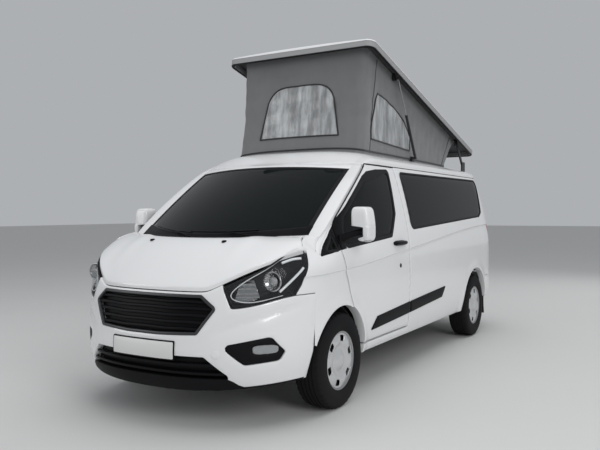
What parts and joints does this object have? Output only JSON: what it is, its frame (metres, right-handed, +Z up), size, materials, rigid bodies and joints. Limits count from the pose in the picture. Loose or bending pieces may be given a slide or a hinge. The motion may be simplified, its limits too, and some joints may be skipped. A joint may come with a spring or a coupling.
{
  "type": "camper van",
  "caption": "White panel-sided camper van with a raised pop-up roof on gas struts, fabric tent, opening doors, bonnet and tailgate, and steered front wheels.",
  "frame": {"origin": "on the ground below the middle of the overall box", "axes": "+X towards the front, +Y to the vehicle's left, +Z up"},
  "size_m": [5.335, 2.266, 2.905],
  "materials": {
    "paint": "gloss white",
    "black_plastic": "satin black",
    "glass": "tinted",
    "lamp_clear": "clear lens",
    "lamp_red": "red lens",
    "chassis": "matt black",
    "engine_metal": "rough",
    "steel": "bare",
    "black_metal": "satin black",
    "upholstery": "woven",
    "tent_fabric": "coated canvas",
    "tyre_rubber": "matt",
    "wheel_silver": "silver"
  },
  "bodies": {
    "van_body": {"platform": "chassis", "side_left": "paint", "side_right": "paint", "sliding_door": "paint", "roof_panel": "paint", "windscreen_frame": "paint", "windscreen": "glass", "wing_left": "paint", "wing_right": "paint", "bumper_front": "paint", "grille": "black_plastic", "headlamps": "lamp_clear", "fog_lamps": "black_plastic", "side_glass": "glass", "bumper_rear": "paint", "tail_lamps": "lamp_red", "engine": "engine_metal", "front_suspension": "chassis", "rear_axle": "chassis", "exhaust": "steel", "fuel_tank": "black_plastic", "dashboard": "black_plastic", "steering_wheel": "black_plastic", "seats": "upholstery", "roof_brackets": "black_metal", "tent": "tent_fabric"},
    "door_left_body": {"door_left": "paint", "door_left_glass": "glass", "mirror_left": "paint"},
    "door_right_body": {"door_right": "paint", "door_right_glass": "glass", "mirror_right": "paint"},
    "bonnet_body": {"bonnet": "paint"},
    "tailgate_body": {"tailgate": "paint", "tailgate_glass": "glass"},
    "lift_body": {"lift_arms": "black_metal"},
    "roof_body": {"pop_roof": "paint"},
    "cylinder_body": {"strut_cylinders": "black_metal"},
    "rod_body": {"strut_rods": "steel"},
    "knuckle_left_body": {"knuckle_left": "chassis"},
    "knuckle_right_body": {"knuckle_right": "chassis"},
    "front_left_wheel": {"tyre_front_left": "tyre_rubber", "wheel_front_left": "wheel_silver"},
    "front_right_wheel": {"tyre_front_right": "tyre_rubber", "wheel_front_right": "wheel_silver"},
    "rear_left_wheel": {"tyre_rear_left": "tyre_rubber", "wheel_rear_left": "wheel_silver"},
    "rear_right_wheel": {"tyre_rear_right": "tyre_rubber", "wheel_rear_right": "wheel_silver"}
  },
  "joints": [
    {"name": "steer_left", "type": "hinge", "parent": "van_body", "child": "knuckle_left_body", "pos_m": [1.667, 0.848, 0.343], "axis": [0, 0, 1], "range_deg": [-35, 35]},
    {"name": "steer_right", "type": "hinge", "parent": "van_body", "child": "knuckle_right_body", "pos_m": [1.667, -0.848, 0.343], "axis": [0, 0, 1], "range_deg": [-35, 35]},
    {"name": "spin_front_left", "type": "hinge", "parent": "knuckle_left_body", "child": "front_left_wheel", "pos_m": [1.667, 0.868, 0.343], "axis": [0, 1, 0], "continuous": true},
    {"name": "spin_front_right", "type": "hinge", "parent": "knuckle_right_body", "child": "front_right_wheel", "pos_m": [1.667, -0.868, 0.343], "axis": [0, 1, 0], "continuous": true},
    {"name": "spin_rear_left", "type": "hinge", "parent": "van_body", "child": "rear_left_wheel", "pos_m": [-1.633, 0.868, 0.343], "axis": [0, 1, 0], "continuous": true},
    {"name": "spin_rear_right", "type": "hinge", "parent": "van_body", "child": "rear_right_wheel", "pos_m": [-1.633, -0.868, 0.343], "axis": [0, 1, 0], "continuous": true},
    {"name": "door_left_swing", "type": "hinge", "parent": "van_body", "child": "door_left_body", "pos_m": [1.64425, 0.985, 0.9], "axis": [0, 0, -1], "range_deg": [0, 70]},
    {"name": "door_right_swing", "type": "hinge", "parent": "van_body", "child": "door_right_body", "pos_m": [1.64425, -0.985, 0.9], "axis": [0, 0, 1], "range_deg": [0, 70]},
    {"name": "bonnet_lift", "type": "hinge", "parent": "van_body", "child": "bonnet_body", "pos_m": [1.89267, 0, 1.14366], "axis": [0, -1, 0], "range_deg": [0, 60]},
    {"name": "tailgate_lift", "type": "hinge", "parent": "van_body", "child": "tailgate_body", "pos_m": [-2.43, 0, 1.84], "axis": [0, 1, 0], "range_deg": [0, 85]},
    {"name": "roof_lift", "type": "hinge", "parent": "van_body", "child": "lift_body", "pos_m": [-2.00675, 0, 1.973], "axis": [0, 1, 0], "range_deg": [0, 53.03], "deforming": ["tent"]},
    {"name": "roof_tilt", "type": "hinge", "parent": "lift_body", "child": "roof_body", "pos_m": [-1.81957, 0, 2.18108], "axis": [0, 1, 0], "range_deg": [-38.98, 0]},
    {"name": "strut_swing", "type": "hinge", "parent": "van_body", "child": "cylinder_body", "pos_m": [-0.4615, 0, 1.94111], "axis": [0, 1, 0], "range_deg": [0, 55.98]},
    {"name": "strut_slide", "type": "slide", "parent": "cylinder_body", "child": "rod_body", "axis": [0.5238, 0, 0.8519], "range_m": [-0.2442, 0]}
  ],
  "couplings": [
    {"joint": "steer_right", "follows": "steer_left", "ratio": 1},
    {"joint": "roof_tilt", "follows": "roof_lift", "ratio": -0.73411},
    {"joint": "strut_swing", "follows": "roof_lift", "ratio": 1.0547},
    {"joint": "strut_slide", "follows": "roof_lift", "m_per_rad": -0.26363}
  ]
}
